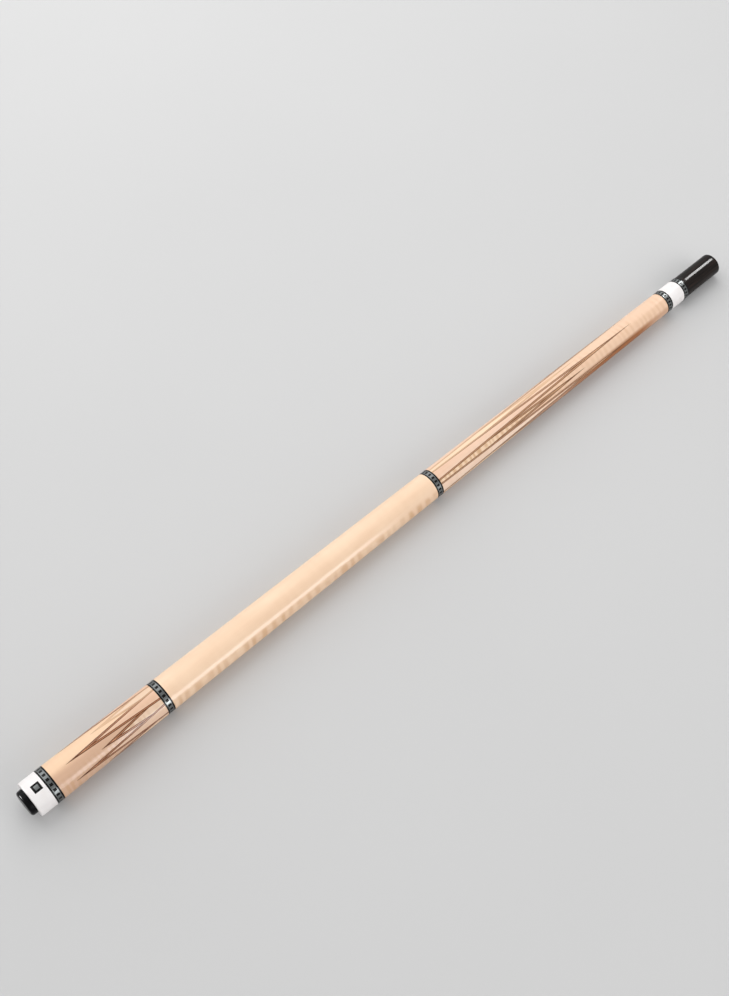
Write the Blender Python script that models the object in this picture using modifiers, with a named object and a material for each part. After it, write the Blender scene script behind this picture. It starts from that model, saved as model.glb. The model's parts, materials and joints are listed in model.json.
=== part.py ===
"""Butt half of a two-piece pool cue, with its joint protector screwed on.

The cue is modelled on its own axis, bumper at zero and joint ahead, and the empty cue_axis lays
that axis along +X.  Every round piece has the same facets, turned so that a flat faces the ground.
"""

import math

import bmesh
import bpy
import numpy as np
from mathutils import Matrix, Vector

# Lengths along the axis, from the bumper to the end of the protector (m)
BUMPER_LENGTH = 0.0052
CAP_LENGTH = 0.0143
RING_LENGTH = 0.0066
SLEEVE_LENGTH = 0.0974
HANDLE_LENGTH = 0.2813
FOREARM_LENGTH = 0.2896
COLLAR_LENGTH = 0.0158
PROTECTOR_LENGTH = 0.0446

# Outside diameters: the butt tapers in straight runs between the middle four (m)
BUMPER_DIAMETER = 0.0212
CAP_DIAMETER = 0.0300
HANDLE_REAR_DIAMETER = 0.0286
HANDLE_FRONT_DIAMETER = 0.0252
JOINT_DIAMETER = 0.0214
PROTECTOR_DIAMETER = 0.0205

# Rounded edges (m)
BUMPER_EDGE = 0.0022
CAP_EDGE = 0.0008
PROTECTOR_EDGE = 0.0014
ROD_CHAMFER = 0.0008

# Clearances (m)
GLUE_LINE = 0.00005
THREAD_CLEARANCE = 0.0001
DRILL_CLEARANCE = 0.0020

# Joint pin and its protector (m)
PIN_DIAMETER = 0.0095
PIN_EXPOSED = 0.0254
PIN_BURIED = 0.0480
PIN_TENON_WALL = 0.0020
INSERT_LENGTH = 0.0240
INSERT_WALL = 0.0017

# Stud between handle and forearm (m)
STUD_DIAMETER = 0.0095
STUD_BURIED = 0.0400

# Rear end: tenon, weight bolt, bush and bumper stud (m)
BOLT_DIAMETER = 0.0095
BOLT_LENGTH = 0.0750
BOLT_KEY = 0.0048
BOLT_KEY_DEPTH = 0.0060
REAR_TENON_WALL = 0.0020
CAP_FLOOR = 0.0036
BUMPER_SPIGOT_DIAMETER = 0.0110
BUMPER_STUD_DIAMETER = 0.00635
BUMPER_STUD_GRIP = 0.0036
BUMPER_STUD_REACH = 0.0127
BUSH_LENGTH = 0.0150

# Ring stacks: a silver band with black dashes in its windows, between two black edges (m)
RING_EDGE = 0.0013
RING_CORE = 0.0009
DASH_MARGIN = 0.0006
DASH_COUNT = 20

# Spliced points: square prongs let in corner first, the forearm's turned a little past the sleeve's (m)
POINT_PAIRS = 6
POINT_ANGLE = math.radians(188.1)
FOREARM_TURN = math.radians(2.1)
SLEEVE_POINT_FLOOR = 0.0012
SLEEVE_LONG_MARGIN = 0.0122
SLEEVE_SHORT_MARGIN = 0.0395
FOREARM_POINT_FLOOR = 0.0024
FOREARM_LONG_MARGIN = 0.0425
FOREARM_SHORT_MARGIN = 0.1096

# Square inlay in the cap: its side, its depth and how far its middle lies behind the ring (m)
INLAY_WIDTH = 0.0070
INLAY_DEPTH = 0.0015
INLAY_SET = 0.0060

# Facets of a turned piece and of a threaded one, and steps round a rounded edge
FACETS = 40
THREADED_FACETS = 16
EDGE_STEPS = 3

# How far a cutter passes the wall that it cuts (m)
CUT_PAST = 0.0010

# Vertices nearer than this are one (m)
WELD = 0.0000001

# Stations: where each piece starts
CAP = BUMPER_LENGTH
CAP_RING = CAP + CAP_LENGTH
SLEEVE = CAP_RING + RING_LENGTH
SLEEVE_RING = SLEEVE + SLEEVE_LENGTH
HANDLE = SLEEVE_RING + RING_LENGTH
HANDLE_RING = HANDLE + HANDLE_LENGTH
FOREARM = HANDLE_RING + RING_LENGTH
COLLAR_RING = FOREARM + FOREARM_LENGTH
COLLAR = COLLAR_RING + RING_LENGTH
JOINT_RING = COLLAR + COLLAR_LENGTH
JOINT_FACE = JOINT_RING + RING_LENGTH
PROTECTOR_END = JOINT_FACE + PROTECTOR_LENGTH

# Radii and stations that one piece takes from another
BOLT_BORE = BOLT_DIAMETER / 2 + GLUE_LINE
REAR_TENON = BOLT_BORE + REAR_TENON_WALL
TENON_SOCKET = REAR_TENON + GLUE_LINE
TENON_END = CAP + CAP_FLOOR + GLUE_LINE
STUD_BORE = STUD_DIAMETER / 2 + GLUE_LINE
PIN_BORE = PIN_DIAMETER / 2 + GLUE_LINE
PIN_TENON = PIN_BORE + PIN_TENON_WALL
COLLAR_SOCKET = PIN_TENON + GLUE_LINE
INSERT_BORE = PIN_DIAMETER / 2 + THREAD_CLEARANCE
INSERT_RADIUS = INSERT_BORE + INSERT_WALL
SPIGOT_RADIUS = BUMPER_SPIGOT_DIAMETER / 2
BUSH_START = TENON_END + GLUE_LINE
BUSH_END = BUSH_START + BUSH_LENGTH
BOLT_START = BUSH_END + DRILL_CLEARANCE
BOLT_END = BOLT_START + BOLT_LENGTH
BUMPER_STUD_START = CAP - BUMPER_STUD_GRIP
BUMPER_STUD_END = BUSH_START + BUMPER_STUD_REACH


def clear_scene():
    for old in list(bpy.data.objects):
        bpy.data.objects.remove(old, do_unlink=True)


def new_collection(name):
    collection = bpy.data.collections.new(name)
    bpy.context.scene.collection.children.link(collection)
    return collection


def finish(name, colour, roughness, metallic=0.0):
    """A material with one colour, roughness and metallic value."""
    material = bpy.data.materials.new(name)
    material.use_nodes = True
    shader = material.node_tree.nodes["Principled BSDF"]
    shader.inputs["Base Color"].default_value = (*colour, 1.0)
    shader.inputs["Roughness"].default_value = roughness
    shader.inputs["Metallic"].default_value = metallic
    return material


clear_scene()
PARTS = new_collection("pool_cue_butt")
CUTTERS = new_collection("pool_cue_cutters")

AXIS = bpy.data.objects.new("cue_axis", None)
AXIS.rotation_euler = (0.0, math.radians(90.0), 0.0)
PARTS.objects.link(AXIS)

CREAM_MAPLE = finish("cream_maple", (0.80, 0.61, 0.41), 0.22)
CURLY_MAPLE = finish("curly_maple", (0.78, 0.55, 0.35), 0.22)
PINK_MAPLE = finish("pink_maple", (0.76, 0.52, 0.37), 0.22)
BLACK_RESIN = finish("black_resin", (0.015, 0.015, 0.016), 0.18)
WHITE_RESIN = finish("white_resin", (0.86, 0.85, 0.83), 0.20)
NICKEL_SILVER = finish("nickel_silver", (0.72, 0.72, 0.70), 0.25, 1.0)
BLACK_RUBBER = finish("black_rubber", (0.02, 0.02, 0.022), 0.40)
STEEL = finish("steel", (0.60, 0.61, 0.62), 0.30, 1.0)
BRASS = finish("brass", (0.75, 0.56, 0.25), 0.30, 1.0)
EBONY = finish("ebony", (0.03, 0.022, 0.018), 0.16)


def place(obj, collection, station=0.0):
    """Put an object on the cue's axis, at its station."""
    collection.objects.link(obj)
    obj.parent = AXIS
    obj.location = (0.0, 0.0, station)
    if collection is CUTTERS:
        obj.hide_render = True
        obj.display_type = "WIRE"
    return obj


def taper(station):
    """Radius of the butt at a station, straight between the named diameters."""
    stations = (CAP_RING, SLEEVE_RING, HANDLE_RING, COLLAR_RING)
    diameters = (CAP_DIAMETER, HANDLE_REAR_DIAMETER, HANDLE_FRONT_DIAMETER, JOINT_DIAMETER)
    return float(np.interp(station, stations, diameters)) / 2


def rounded(radius, station, edge, facing):
    """Quarter circle on an outer edge, front to rear; facing is 1 at a front edge, -1 at a rear one."""
    angles = np.linspace(0.0, math.pi / 2, EDGE_STEPS + 1)[:: -facing]
    centre = station - facing * edge
    return [
        (radius - edge + edge * math.cos(angle), centre + facing * edge * math.sin(angle))
        for angle in angles
    ]


def turned(name, profile, material, facets=FACETS):
    """Turn a profile of (radius, station) pairs round the axis.

    The profile starts at the front and runs down its outer side.  It is closed to a ring unless it
    starts and ends on the axis.
    """
    half_facet = math.pi / facets
    across, along = math.cos(half_facet), math.sin(half_facet)
    start = min(station for radius, station in profile)
    points = [(radius * across, radius * along, station - start) for radius, station in profile]
    edges = [(i, i + 1) for i in range(len(points) - 1)]
    if profile[0][0] > 0.0:
        edges.append((len(points) - 1, 0))
    mesh = bpy.data.meshes.new(name)
    mesh.from_pydata(points, edges, [])
    mesh.materials.append(material)
    obj = place(bpy.data.objects.new(name, mesh), PARTS, start)
    screw = obj.modifiers.new("Turn", "SCREW")
    screw.axis = "Z"
    screw.steps = facets
    screw.render_steps = facets
    screw.use_merge_vertices = True
    screw.merge_threshold = WELD
    screw.use_smooth_shade = True
    return obj


def tube(name, bore, rear, front, material):
    """A ring or sleeve with a straight bore, its outside following the taper of the butt."""
    low, high = rear + GLUE_LINE / 2, front - GLUE_LINE / 2
    profile = [(taper(high), high), (taper(low), low), (bore, low), (bore, high)]
    return turned(name, profile, material)


def rod(name, diameter, rear, front, material):
    """A round rod with both ends chamfered."""
    radius = diameter / 2
    profile = [
        (0.0, front),
        (radius - ROD_CHAMFER, front),
        (radius, front - ROD_CHAMFER),
        (radius, rear + ROD_CHAMFER),
        (radius - ROD_CHAMFER, rear),
        (0.0, rear),
    ]
    return turned(name, profile, material, THREADED_FACETS)


def boolean(target, cutter, operation):
    modifier = target.modifiers.new(f"{operation.title()} {cutter.name}", "BOOLEAN")
    modifier.operation = operation
    modifier.object = cutter


def prism(name, sides, radius, matrix, depth, tip_radius=None):
    """A cutter with a regular section about its own Z, from zero down to -depth."""
    mesh = bpy.data.meshes.new(name)
    body = bmesh.new()
    bmesh.ops.create_cone(
        body,
        cap_ends=True,
        segments=sides,
        radius1=radius,
        radius2=radius if tip_radius is None else tip_radius,
        depth=depth,
        matrix=Matrix.Translation((0.0, 0.0, -depth / 2)),
    )
    bmesh.ops.remove_doubles(body, verts=body.verts, dist=WELD)
    bmesh.ops.recalc_face_normals(body, faces=body.faces)
    body.to_mesh(mesh)
    body.free()
    obj = place(bpy.data.objects.new(name, mesh), CUTTERS)
    obj.matrix_basis = matrix
    return obj


def facing_out(angle, radius, station):
    """Matrix whose Z leaves the axis at an angle and whose X runs along the cue."""
    out = Vector((math.cos(angle), math.sin(angle), 0.0))
    along = Vector((0.0, 0.0, 1.0))
    matrix = Matrix((along, out.cross(along), out)).transposed().to_4x4()
    matrix.translation = out * radius + along * station
    return matrix


def point_cutter(name, angle, base, tip, floor, clearance):
    """Square prong that tapers from its base station to a tip on the surface, set corner first.

    Its inner corner lies on the floor radius at the base and rises in a straight line to the tip.
    """
    out = Vector((math.cos(angle), math.sin(angle), 0.0))
    along = Vector((0.0, 0.0, 1.0))
    base_centre = out * taper(base) + along * base
    tip_centre = out * taper(tip) + along * tip
    run = tip_centre - base_centre
    slope = (taper(base) - floor) / run.length
    corner = clearance * math.sqrt(2.0) / slope
    depth = run.length + corner + CUT_PAST
    ahead = run.normalized()
    side = along.cross(out)
    matrix = Matrix((side.cross(ahead), side, ahead)).transposed().to_4x4()
    matrix.translation = tip_centre + ahead * corner
    return prism(name, 4, slope * depth, matrix, depth, 0.0)


def spliced_points(section, wood, angle, rear, front, base, floor, tips):
    """Let six long points, the first at an angle, over six short ones into a section of the butt."""
    solid = [
        (0.0, front - GLUE_LINE / 2),
        (taper(front), front - GLUE_LINE / 2),
        (taper(rear), rear + GLUE_LINE / 2),
        (0.0, rear + GLUE_LINE / 2),
    ]
    pitch = 2.0 * math.pi / POINT_PAIRS
    starts = {"long": angle, "short": angle + pitch / 2}
    grooves = {"long": [], "short": []}
    points = {"long": [], "short": []}
    for length, start in starts.items():
        for i in range(POINT_PAIRS):
            name = f"{section}_{length}_point_{i + 1}"
            place_of = (start + i * pitch, base, tips[length], floor)
            prong = point_cutter(f"{name}_prong", *place_of, 0.0)
            groove = point_cutter(f"{name}_groove", *place_of, GLUE_LINE)
            point = turned(name, solid, PINK_MAPLE if length == "long" else CURLY_MAPLE)
            boolean(point, prong, "INTERSECT")
            boolean(wood, groove, "DIFFERENCE")
            grooves[length].append(groove)
            points[length].append(point)
    for i, point in enumerate(points["short"]):
        boolean(point, grooves["long"][i], "DIFFERENCE")
        boolean(point, grooves["long"][(i + 1) % POINT_PAIRS], "DIFFERENCE")


def toothed_outline(root, tip, half_tooth):
    """Outline of a wheel with one flat tooth to every dash, a dash's half pitch past the zero angle."""
    pitch = 2.0 * math.pi / DASH_COUNT
    outline = []
    for i in range(DASH_COUNT):
        middle = (i + 0.5) * pitch
        for radius, angle in (
            (root, -half_tooth), (tip, -half_tooth), (tip, half_tooth), (root, half_tooth)
        ):
            outline.append((radius * math.cos(middle + angle), radius * math.sin(middle + angle)))
    return outline


def circle_outline(radius):
    angles = (np.arange(FACETS) + 0.5) * 2.0 * math.pi / FACETS
    return [(radius * math.cos(angle), radius * math.sin(angle)) for angle in angles]


def flat_plate(name, outlines, rear, front, material, collection):
    """A filled flat outline, with any further outlines as holes, given its thickness along the axis."""
    curve = bpy.data.curves.new(name, "CURVE")
    curve.dimensions = "2D"
    curve.fill_mode = "BOTH"
    curve.extrude = (front - rear) / 2
    for outline in outlines:
        spline = curve.splines.new("POLY")
        spline.points.add(len(outline) - 1)
        spline.use_cyclic_u = True
        for point, (x, y) in zip(spline.points, outline):
            point.co = (x, y, 0.0, 1.0)
    drawn = bpy.data.objects.new(f"{name}_outline", curve)
    bpy.context.scene.collection.objects.link(drawn)
    evaluated = drawn.evaluated_get(bpy.context.evaluated_depsgraph_get())
    mesh = bpy.data.meshes.new_from_object(evaluated)
    bpy.data.objects.remove(drawn, do_unlink=True)
    body = bmesh.new()
    body.from_mesh(mesh)
    bmesh.ops.remove_doubles(body, verts=body.verts, dist=WELD)
    bmesh.ops.recalc_face_normals(body, faces=body.faces)
    body.to_mesh(mesh)
    body.free()
    mesh.materials.clear()
    mesh.materials.append(material)
    return place(bpy.data.objects.new(name, mesh), collection, (rear + front) / 2)


def ring_stack(name, rear, bore):
    """Black ring whose dashes fill the windows of the silver band round its core, and a closing ring."""
    front = rear + RING_LENGTH
    band_rear = rear + RING_EDGE
    band_front = front - RING_EDGE
    window_rear = band_rear + DASH_MARGIN
    window_front = band_front - DASH_MARGIN
    half_window = math.pi / FACETS
    core = bore + RING_CORE
    back, shoulder, nose = rear + GLUE_LINE / 2, band_rear - GLUE_LINE, band_front - GLUE_LINE / 2
    profile = [
        (core, nose),
        (core, shoulder),
        (taper(shoulder), shoulder),
        (taper(back), back),
        (bore, back),
        (bore, nose),
    ]
    crown = turned(f"{name}_crown", profile, BLACK_RESIN)
    tip = taper(front)
    narrow = half_window - GLUE_LINE / tip
    flush_tip = tip * math.cos(half_window) / math.cos(narrow)
    blocks = flat_plate(
        f"{name}_blocks",
        [toothed_outline(bore + RING_CORE * 2 / 3, flush_tip, narrow), circle_outline(bore + RING_CORE / 3)],
        window_rear + GLUE_LINE,
        window_front - GLUE_LINE,
        BLACK_RESIN,
        CUTTERS,
    )
    boolean(crown, blocks, "UNION")

    band = tube(f"{name}_dashes", core + GLUE_LINE, band_rear, band_front, NICKEL_SILVER)
    windows = flat_plate(
        f"{name}_windows",
        [toothed_outline(core, CAP_DIAMETER, half_window)],
        window_rear,
        window_front,
        BLACK_RESIN,
        CUTTERS,
    )
    boolean(band, windows, "DIFFERENCE")
    tube(f"{name}_washer", bore, band_front, front, BLACK_RESIN)


def rear_end():
    """Bumper on its stud, the bush that takes the stud, and the weight bolt behind it."""
    seat = CAP - GLUE_LINE
    spigot_end = CAP + CAP_FLOOR - GLUE_LINE
    stud_socket = BUMPER_STUD_DIAMETER / 2 + THREAD_CLEARANCE
    profile = [
        (stud_socket, spigot_end),
        (SPIGOT_RADIUS, spigot_end),
        (SPIGOT_RADIUS, seat),
        (BUMPER_DIAMETER / 2, seat),
        *rounded(BUMPER_DIAMETER / 2, 0.0, BUMPER_EDGE, -1),
        (0.0, 0.0),
    ]
    socket_floor = BUMPER_STUD_START - GLUE_LINE
    turned("rubber_bumper", [(0.0, socket_floor), (stud_socket, socket_floor), *profile], BLACK_RUBBER)
    rod("bumper_stud", BUMPER_STUD_DIAMETER, BUMPER_STUD_START, BUMPER_STUD_END, BRASS)

    bush_radius = BOLT_DIAMETER / 2
    bush = [
        (bush_radius, BUSH_END),
        (bush_radius, BUSH_START),
        (stud_socket, BUSH_START),
        (stud_socket, BUSH_END),
    ]
    turned("bumper_bush", bush, BRASS, THREADED_FACETS)

    bolt = rod("weight_bolt", BOLT_DIAMETER, BOLT_START, BOLT_END, STEEL)
    key_matrix = Matrix.Translation((0.0, 0.0, BOLT_START + BOLT_KEY_DEPTH))
    key_depth = BOLT_KEY_DEPTH + CUT_PAST
    key = prism("weight_bolt_key", 6, BOLT_KEY / math.sqrt(3.0), key_matrix, key_depth)
    boolean(bolt, key, "DIFFERENCE")


def butt_cap():
    """White cap over the rear tenon, with a plain square let into its side."""
    front = CAP_RING - GLUE_LINE / 2
    floor_front = CAP + CAP_FLOOR
    spigot_hole = SPIGOT_RADIUS + THREAD_CLEARANCE
    profile = [
        (CAP_DIAMETER / 2, front),
        *rounded(CAP_DIAMETER / 2, CAP, CAP_EDGE, -1),
        (spigot_hole, CAP),
        (spigot_hole, floor_front),
        (TENON_SOCKET, floor_front),
        (TENON_SOCKET, front),
    ]
    cap = turned("butt_cap", profile, WHITE_RESIN)
    inlay = turned("cap_inlay", profile, BLACK_RESIN)
    middle = CAP_RING - INLAY_SET
    top = CAP_DIAMETER / 2 + CUT_PAST
    depth = CUT_PAST + INLAY_DEPTH
    matrix = facing_out(POINT_ANGLE, top, middle) @ Matrix.Rotation(math.radians(45.0), 4, "Z")
    corner = INLAY_WIDTH / math.sqrt(2.0)
    pocket_corner = corner + GLUE_LINE * math.sqrt(2.0)
    boolean(cap, prism("cap_inlay_pocket", 4, pocket_corner, matrix, depth + GLUE_LINE), "DIFFERENCE")
    boolean(inlay, prism("cap_inlay_blank", 4, corner, matrix, depth), "INTERSECT")


def butt_sleeve():
    sleeve = tube("butt_sleeve", TENON_SOCKET, SLEEVE, SLEEVE_RING, CREAM_MAPLE)
    tips = {"long": SLEEVE + SLEEVE_LONG_MARGIN, "short": SLEEVE + SLEEVE_SHORT_MARGIN}
    floor = TENON_SOCKET + SLEEVE_POINT_FLOOR
    spliced_points("sleeve", sleeve, POINT_ANGLE, SLEEVE, SLEEVE_RING, SLEEVE_RING, floor, tips)


def handle():
    """Plain wood handle, its rear tenon carrying the sleeve, two rings and the cap."""
    front = HANDLE_RING - GLUE_LINE / 2
    shoulder = HANDLE + GLUE_LINE / 2
    stud_floor = HANDLE_RING - STUD_BURIED - DRILL_CLEARANCE
    bolt_floor = BOLT_END + DRILL_CLEARANCE
    profile = [
        (0.0, stud_floor),
        (STUD_BORE, stud_floor),
        (STUD_BORE, front),
        (taper(front), front),
        (taper(shoulder), shoulder),
        (REAR_TENON, shoulder),
        (REAR_TENON, TENON_END),
        (BOLT_BORE, TENON_END),
        (BOLT_BORE, bolt_floor),
        (0.0, bolt_floor),
    ]
    turned("handle", profile, CURLY_MAPLE)
    rod("handle_stud", STUD_DIAMETER, HANDLE_RING - STUD_BURIED, FOREARM + STUD_BURIED, STEEL)


def forearm():
    """Forearm with its points, and a front tenon that carries the collar and its two rings."""
    shoulder = COLLAR_RING - GLUE_LINE / 2
    rear = FOREARM + GLUE_LINE / 2
    pin_floor = JOINT_FACE - PIN_BURIED - DRILL_CLEARANCE
    stud_floor = FOREARM + STUD_BURIED + DRILL_CLEARANCE
    profile = [
        (0.0, pin_floor),
        (PIN_BORE, pin_floor),
        (PIN_BORE, JOINT_FACE),
        (PIN_TENON, JOINT_FACE),
        (PIN_TENON, shoulder),
        (taper(shoulder), shoulder),
        (taper(rear), rear),
        (STUD_BORE, rear),
        (STUD_BORE, stud_floor),
        (0.0, stud_floor),
    ]
    wood = turned("forearm", profile, CREAM_MAPLE)
    tips = {"long": COLLAR_RING - FOREARM_LONG_MARGIN, "short": COLLAR_RING - FOREARM_SHORT_MARGIN}
    floor = STUD_BORE + FOREARM_POINT_FLOOR
    spliced_points("forearm", wood, POINT_ANGLE + FOREARM_TURN, FOREARM, COLLAR_RING, FOREARM, floor, tips)


def joint_end():
    """White collar and joint pin, and the protector with its brass insert."""
    tube("joint_collar", COLLAR_SOCKET, COLLAR, JOINT_RING, WHITE_RESIN)
    pin_end = JOINT_FACE + PIN_EXPOSED
    rod("joint_pin", PIN_DIAMETER, JOINT_FACE - PIN_BURIED, pin_end, STEEL)

    mouth = JOINT_FACE + GLUE_LINE
    insert_end = mouth + INSERT_LENGTH
    insert = [
        (INSERT_RADIUS, insert_end),
        (INSERT_RADIUS, mouth),
        (INSERT_BORE, mouth),
        (INSERT_BORE, insert_end),
    ]
    turned("protector_insert", insert, BRASS, THREADED_FACETS)

    shell_bore = INSERT_RADIUS + THREAD_CLEARANCE
    bore_end = max(insert_end, pin_end) + DRILL_CLEARANCE
    shell = [
        (0.0, PROTECTOR_END),
        *rounded(PROTECTOR_DIAMETER / 2, PROTECTOR_END, PROTECTOR_EDGE, 1),
        (PROTECTOR_DIAMETER / 2, mouth),
        (shell_bore, mouth),
        (shell_bore, bore_end),
        (0.0, bore_end),
    ]
    turned("protector_shell", shell, EBONY)


rear_end()
butt_cap()
ring_stack("cap_ring", CAP_RING, TENON_SOCKET)
butt_sleeve()
ring_stack("sleeve_ring", SLEEVE_RING, TENON_SOCKET)
handle()
ring_stack("handle_ring", HANDLE_RING, STUD_BORE)
forearm()
ring_stack("collar_ring", COLLAR_RING, COLLAR_SOCKET)
joint_end()
ring_stack("joint_ring", JOINT_RING, COLLAR_SOCKET)
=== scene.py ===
"""Looks of the butt half of a pool cue, with its joint protector screwed on.

The cue lies along X, bumper at the rear.  Every piece is a grid of points worked out round that axis:
its stations, radii and angles are read from the solids of the frame, and its edges, veneers, threads
and colours are set in the property groups below.
"""

import functools
import json
import math
from typing import NamedTuple

import bmesh
import bpy
import numpy as np
from bpy.props import FloatProperty, FloatVectorProperty, IntProperty, PointerProperty
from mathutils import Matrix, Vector


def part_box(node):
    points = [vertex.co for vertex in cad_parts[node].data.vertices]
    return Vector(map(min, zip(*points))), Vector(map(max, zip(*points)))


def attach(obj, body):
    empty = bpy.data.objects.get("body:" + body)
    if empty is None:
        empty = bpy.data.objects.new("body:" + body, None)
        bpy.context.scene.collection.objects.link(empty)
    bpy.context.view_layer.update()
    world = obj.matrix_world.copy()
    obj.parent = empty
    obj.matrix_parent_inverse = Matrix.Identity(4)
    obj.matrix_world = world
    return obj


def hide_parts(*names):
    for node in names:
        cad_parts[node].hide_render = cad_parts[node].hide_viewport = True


bl_info = {
    "name": "Cue Butt",
    "version": (1, 0, 0),
    "blender": (4, 5, 0),
    "location": "View3D > Sidebar > Cue",
    "description": "Dresses the butt of a pool cue in lacquered maple, spliced points and dash rings",
    "category": "Add Mesh",
}

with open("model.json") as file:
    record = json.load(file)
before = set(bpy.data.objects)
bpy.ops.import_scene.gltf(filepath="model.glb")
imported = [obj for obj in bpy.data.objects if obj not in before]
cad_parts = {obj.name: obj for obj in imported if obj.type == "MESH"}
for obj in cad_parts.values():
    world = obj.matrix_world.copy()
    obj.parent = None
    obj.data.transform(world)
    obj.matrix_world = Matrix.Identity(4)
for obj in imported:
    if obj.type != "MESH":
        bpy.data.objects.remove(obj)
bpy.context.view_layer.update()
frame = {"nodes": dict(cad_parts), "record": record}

REAR, FRONT = 0, 1
MM = 0.001
TURN = 2.0 * math.pi
ROOT_2 = math.sqrt(2.0)
RINGS = ("cap_ring", "sleeve_ring", "handle_ring", "collar_ring", "joint_ring")
POINT_PAIRS = 6

# Station of the cue's middle, and distances from it over which the floor goes over into the surround
CUE_MIDDLE = 0.39
FLOOR_FADE = (0.6, 1.9)

# Corners this near to a solid's end make its rim, vertices this near are one, sharper edges stay crisp
RIM_REACH = 0.1 * MM
WELD = 0.0002 * MM
CRISP = math.radians(35.0)

# Steps round a rounded edge, columns across half a point and across a block, rows along a point and a dash
EDGE_STEPS = 12
ARC_COLUMNS = 13
BLOCK_COLUMNS = 7
POINT_ROWS = 57
DASH_ROWS = 3

# Length of a straight step, and the power by which the rows of a point crowd towards its tip
RUN_STEP = 4.0 * MM
TIP_CROWDING = 1.5

# One turn of a thread: how far round it is, and how far up from root to crest
THREAD_FORM = np.array(
    ((0.0, 0.0), (0.1, 0.0), (0.2, 0.2), (0.38, 0.8), (0.45, 1.0), (0.65, 1.0), (0.72, 0.8), (0.9, 0.2))
)
THREAD_FACETS = 96

# How far below the crest the cone at a rod's end starts, in depths of its thread
END_CUT = 1.15

BODY_OF = {node: body for body, nodes in frame["record"]["behaviour"]["bodies"].items() for node in nodes}


def length(name, description, default):
    """A length, in metres."""
    return FloatProperty(name=name, description=description, default=default, unit="LENGTH", precision=5)


def colour(name, description, default):
    """A colour, in linear red, green and blue."""
    return FloatVectorProperty(
        name=name, description=description, default=default, subtype="COLOR", size=3, min=0.0, max=1.0
    )


def angle(name, description, degrees):
    """An angle, given in degrees."""
    return FloatProperty(name=name, description=description, default=math.radians(degrees), subtype="ANGLE")


def power(name, description, watts):
    """A lamp's power, in watts."""
    return FloatProperty(name=name, description=description, default=watts, unit="POWER")


class CueSizes(bpy.types.PropertyGroup):
    """Sizes that the finished surfaces add to the solids."""

    facets: IntProperty(name="Facets", description="Faces round a turned piece", default=192, min=48)
    glue_line: length("Glue line", "Gap between two glued pieces", 0.05 * MM)
    drill_clearance: length("Drill clearance", "Depth of a hole past the rod in it", 2.0 * MM)
    bumper_edge: length("Bumper edge", "Radius of the bumper's rear edge", 2.2 * MM)
    cap_edge: length("Cap edge", "Radius of the cap's rear edge", 0.8 * MM)
    protector_edge: length("Protector edge", "Radius of the protector's front edge", 1.4 * MM)
    mouth_edge: length("Mouth edge", "Radius of the edges round the joint and the bumper's seat", 0.25 * MM)
    pin_pitch: length("Pin pitch", "Pitch of the joint pin and of the rods of its size", 2.54 * MM)
    pin_thread: length("Pin thread", "Depth of the joint pin's thread", 0.95 * MM)
    stud_pitch: length("Stud pitch", "Pitch of the bumper's stud", 1.27 * MM)
    stud_thread: length("Stud thread", "Depth of the stud's thread", 0.55 * MM)
    thread_clearance: length("Thread clearance", "Gap between a thread and its nut", 0.1 * MM)
    bolt_key: length("Bolt key", "Width across the flats of the weight bolt's socket", 4.8 * MM)
    bolt_key_depth: length("Bolt key depth", "Depth of the weight bolt's socket", 6.0 * MM)
    dash_count: IntProperty(name="Dashes", description="Black dashes in a ring", default=20, min=1)
    dash_margin: length("Dash margin", "Silver between a dash and the band's edge", 0.6 * MM)
    dash_depth: length("Dash depth", "Depth of a dash's window in the silver", 0.9 * MM)
    outer_veneer: length("Outer veneer", "Thickness of the dark veneer round a point", 0.58 * MM)
    middle_veneer: length("Middle veneer", "Thickness of the tan veneer inside it", 0.32 * MM)
    inner_veneer: length("Inner veneer", "Thickness of the dark veneer next to the core", 0.55 * MM)
    forearm_point_depth: length(
        "Forearm point depth", "Depth that the forearm's points gain at their base", 1.1 * MM
    )
    veneer_gap: length("Veneer gap", "Gap between two layers of a point", 0.005 * MM)
    under_drop: length("Under drop", "How far one layer of wood lies below the next", 0.02 * MM)
    inlay_proud: length("Inlay proud", "How far the inlay stands above the cap", 0.02 * MM)
    inlay_centre: length("Inlay centre", "Width of the silver square inside the inlay", 3.6 * MM)
    inlay_centre_depth: length("Inlay centre depth", "Depth of the silver square", 0.5 * MM)


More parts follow.
